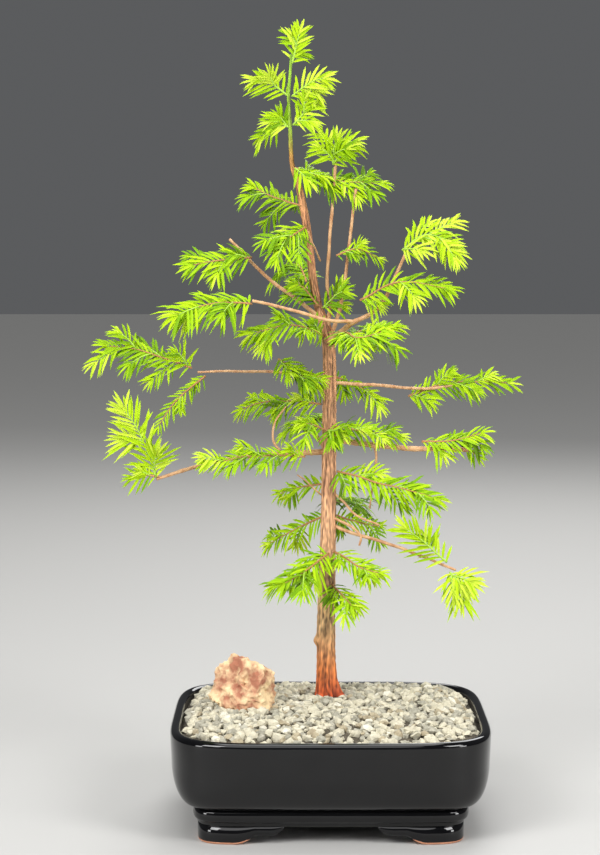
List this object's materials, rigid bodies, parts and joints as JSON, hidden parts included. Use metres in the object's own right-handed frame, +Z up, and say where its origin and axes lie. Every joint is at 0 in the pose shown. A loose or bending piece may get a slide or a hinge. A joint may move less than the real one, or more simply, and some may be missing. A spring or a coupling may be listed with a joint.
{
  "type": "potted dawn redwood bonsai",
  "caption": "Slender dawn redwood bonsai with feathery needle sprays, in a rounded rectangular footed pot of gravel with a small stone beside the trunk.",
  "frame": {"origin": "middle of the object's box, on the level of the feet's flat undersides", "axes": "+Z up the tree, +X to the right of the pot's long side as seen from its front, +Y to its back"},
  "size_m": [0.286, 0.21, 0.51],
  "materials": {
    "pot_glaze": "black gloss glaze",
    "foot_glaze": "black gloss glaze over bare clay undersides",
    "gravel": "loose angular cream grains",
    "stone": "rough, pink and tan",
    "trunk_bark": "peeling red-brown bark",
    "bough_bark": "smooth young bark",
    "foliage": "soft flat needles"
  },
  "bodies": {
    "root": {"bough_back_middle": "bough_bark", "bough_back_upper": "bough_bark", "bough_left_light": "bough_bark", "bough_left_long": "bough_bark", "bough_left_low": "bough_bark", "bough_left_stub": "bough_bark", "bough_right_long": "bough_bark", "bough_right_low": "bough_bark", "bough_right_thick": "bough_bark", "bough_right_upper": "bough_bark", "foot_back_left": "foot_glaze", "foot_back_right": "foot_glaze", "foot_front_left": "foot_glaze", "foot_front_right": "foot_glaze", "gravel_bed": "gravel", "mass_back_low": "foliage", "mass_back_middle": "foliage", "mass_back_right": "foliage", "mass_back_upper": "foliage", "mass_crest_tier": "foliage", "mass_crest_up": "foliage", "mass_fork_collar": "foliage", "mass_front_fan": "foliage", "mass_leader_front": "foliage", "mass_leader_high": "foliage", "mass_leader_left": "foliage", "mass_leader_low": "foliage", "mass_left_drooping": "foliage", "mass_left_hanging": "foliage", "mass_left_long": "foliage", "mass_left_low": "foliage", "mass_left_lowest": "foliage", "mass_left_riser": "foliage", "mass_left_shoot": "foliage", "mass_left_stub": "foliage", "mass_left_tier": "foliage", "mass_left_under": "foliage", "mass_lowest_fan": "foliage", "mass_lowest_front": "foliage", "mass_right_end": "foliage", "mass_right_fork": "foliage", "mass_right_inner": "foliage", "mass_right_long": "foliage", "mass_right_lower": "foliage", "mass_right_lowest": "foliage", "mass_right_middle": "foliage", "mass_right_near": "foliage", "mass_right_shoot": "foliage", "mass_right_tuft": "foliage", "mass_right_upper": "foliage", "mass_stem_spray": "foliage", "mass_top_tuft": "foliage", "mass_trunk_front": "foliage", "mass_trunk_upper": "foliage", "pot_body": "pot_glaze", "stem_second": "bough_bark", "stem_third": "bough_bark", "stone": "stone", "trunk": "trunk_bark"}
  },
  "joints": []
}
